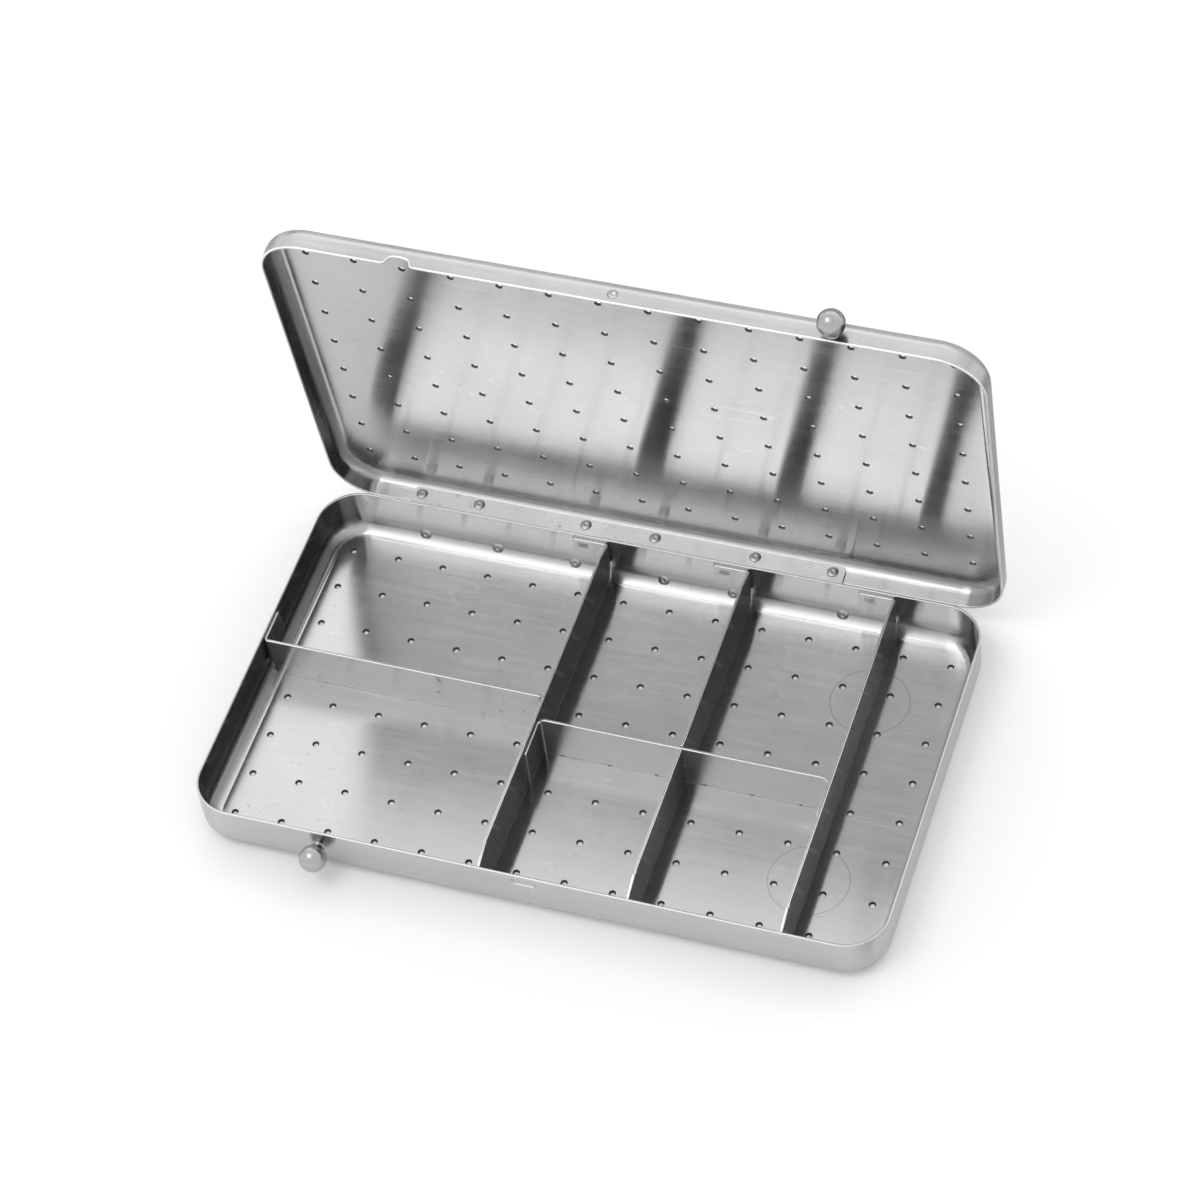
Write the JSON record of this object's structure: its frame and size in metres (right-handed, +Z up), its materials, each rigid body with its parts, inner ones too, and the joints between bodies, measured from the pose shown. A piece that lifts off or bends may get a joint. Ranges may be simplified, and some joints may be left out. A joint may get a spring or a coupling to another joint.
{
  "type": "perforated needle cassette",
  "caption": "Perforated stainless steel cassette for sterilising needles: a tray divided into compartments, with a hinged perforated lid and ball knobs.",
  "frame": {"origin": "centre of the tray's flat underside, on the table", "axes": "+X along the long side to the right, +Y to the back where the hinge is, +Z up"},
  "size_m": [0.1316, 0.0917, 0.0887],
  "materials": {
    "tray_sheet": "brushed stainless steel",
    "hinge_steel": "brushed stainless steel",
    "rivet_steel": "brushed stainless steel",
    "knob_steel": "polished stainless steel",
    "divider_sheet": "brushed stainless steel",
    "lid_sheet": "brushed stainless steel"
  },
  "bodies": {
    "base": {"base_tray": "tray_sheet", "base_hinge_leaf": "hinge_steel", "hinge_pin": "hinge_steel", "base_hinge_rivets": "rivet_steel", "base_knob": "knob_steel", "left_long_divider": "divider_sheet", "middle_long_divider": "divider_sheet", "right_long_divider": "divider_sheet", "left_cross_divider": "divider_sheet", "right_cross_divider": "divider_sheet"},
    "lid": {"lid_shell": "lid_sheet", "lid_hinge_leaf": "hinge_steel", "lid_hinge_rivets": "rivet_steel", "lid_knob": "knob_steel"}
  },
  "joints": [
    {"name": "lid_hinge", "type": "hinge", "parent": "base", "child": "lid", "pos_m": [0, 0.0401, 0.004], "axis": [-1, 0, 0], "range_deg": [-82.2, 28]}
  ]
}
